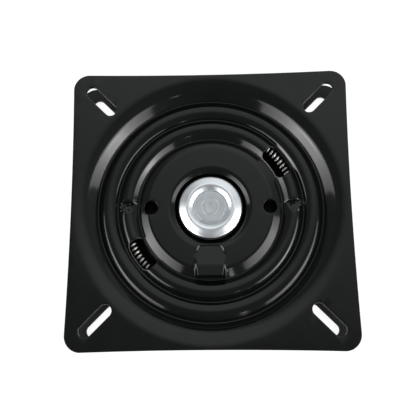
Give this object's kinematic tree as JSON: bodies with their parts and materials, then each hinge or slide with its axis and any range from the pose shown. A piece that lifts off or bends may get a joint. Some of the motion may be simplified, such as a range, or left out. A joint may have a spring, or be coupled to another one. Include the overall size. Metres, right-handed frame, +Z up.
{
  "type": "spring-return swivel plate bearing",
  "caption": "Square two-plate swivel bearing with a ball race, riveted kingpin cap, coil springs that return it to the front, and diagonal fixing slots in the corners.",
  "frame": {"origin": "centre of the bottom plate's underside, on the swivel axis", "axes": "+Z up along the swivel axis to the seat side, +Y to the rear with the stepped pad at the front, plate sides along X and Y"},
  "size_m": [0.1774, 0.1774, 0.026],
  "materials": {
    "black_paint": "gloss black baked paint on pressed steel",
    "zinc_plate": "bright zinc plate with faint blue tint",
    "rivet_steel": "satin turned zinc-plated steel",
    "spring_steel": "oiled drawn spring wire",
    "ball_steel": "polished bearing steel, greased",
    "cage_nylon": "natural nylon moulding"
  },
  "bodies": {
    "base": {"bottom_plate": "black_paint", "kingpin_rivet": "rivet_steel", "kingpin_cap": "zinc_plate", "return_spring_rear": "spring_steel", "return_spring_front": "spring_steel"},
    "seat_plate": {"top_plate": "black_paint"},
    "outer_balls": {"outer_ball_cage": "cage_nylon", "outer_ball_01": "ball_steel", "outer_ball_02": "ball_steel", "outer_ball_03": "ball_steel", "outer_ball_04": "ball_steel", "outer_ball_05": "ball_steel", "outer_ball_06": "ball_steel", "outer_ball_07": "ball_steel", "outer_ball_08": "ball_steel", "outer_ball_09": "ball_steel", "outer_ball_10": "ball_steel", "outer_ball_11": "ball_steel", "outer_ball_12": "ball_steel", "outer_ball_13": "ball_steel", "outer_ball_14": "ball_steel", "outer_ball_15": "ball_steel", "outer_ball_16": "ball_steel", "outer_ball_17": "ball_steel", "outer_ball_18": "ball_steel"},
    "inner_balls": {"inner_ball_cage": "cage_nylon", "inner_ball_01": "ball_steel", "inner_ball_02": "ball_steel", "inner_ball_03": "ball_steel", "inner_ball_04": "ball_steel", "inner_ball_05": "ball_steel", "inner_ball_06": "ball_steel", "inner_ball_07": "ball_steel", "inner_ball_08": "ball_steel", "inner_ball_09": "ball_steel", "inner_ball_10": "ball_steel", "inner_ball_11": "ball_steel", "inner_ball_12": "ball_steel"}
  },
  "joints": [
    {"name": "swivel", "type": "hinge", "parent": "base", "child": "seat_plate", "pos_m": [0, 0, 0.013], "axis": [0, 0, 1], "range_deg": [-80, 80], "stiffness_Nm_per_rad": 22.5, "deforming": ["return_spring_rear", "return_spring_front"]},
    {"name": "outer_ball_roll", "type": "hinge", "parent": "base", "child": "outer_balls", "pos_m": [0, 0, 0.013], "axis": [0, 0, 1], "range_deg": [-40, 40]},
    {"name": "inner_ball_roll", "type": "hinge", "parent": "base", "child": "inner_balls", "pos_m": [0, 0, 0.01735], "axis": [0, 0, 1], "range_deg": [-40, 40]}
  ],
  "couplings": [
    {"joint": "outer_ball_roll", "follows": "swivel", "ratio": 0.5},
    {"joint": "inner_ball_roll", "follows": "swivel", "ratio": 0.5}
  ]
}
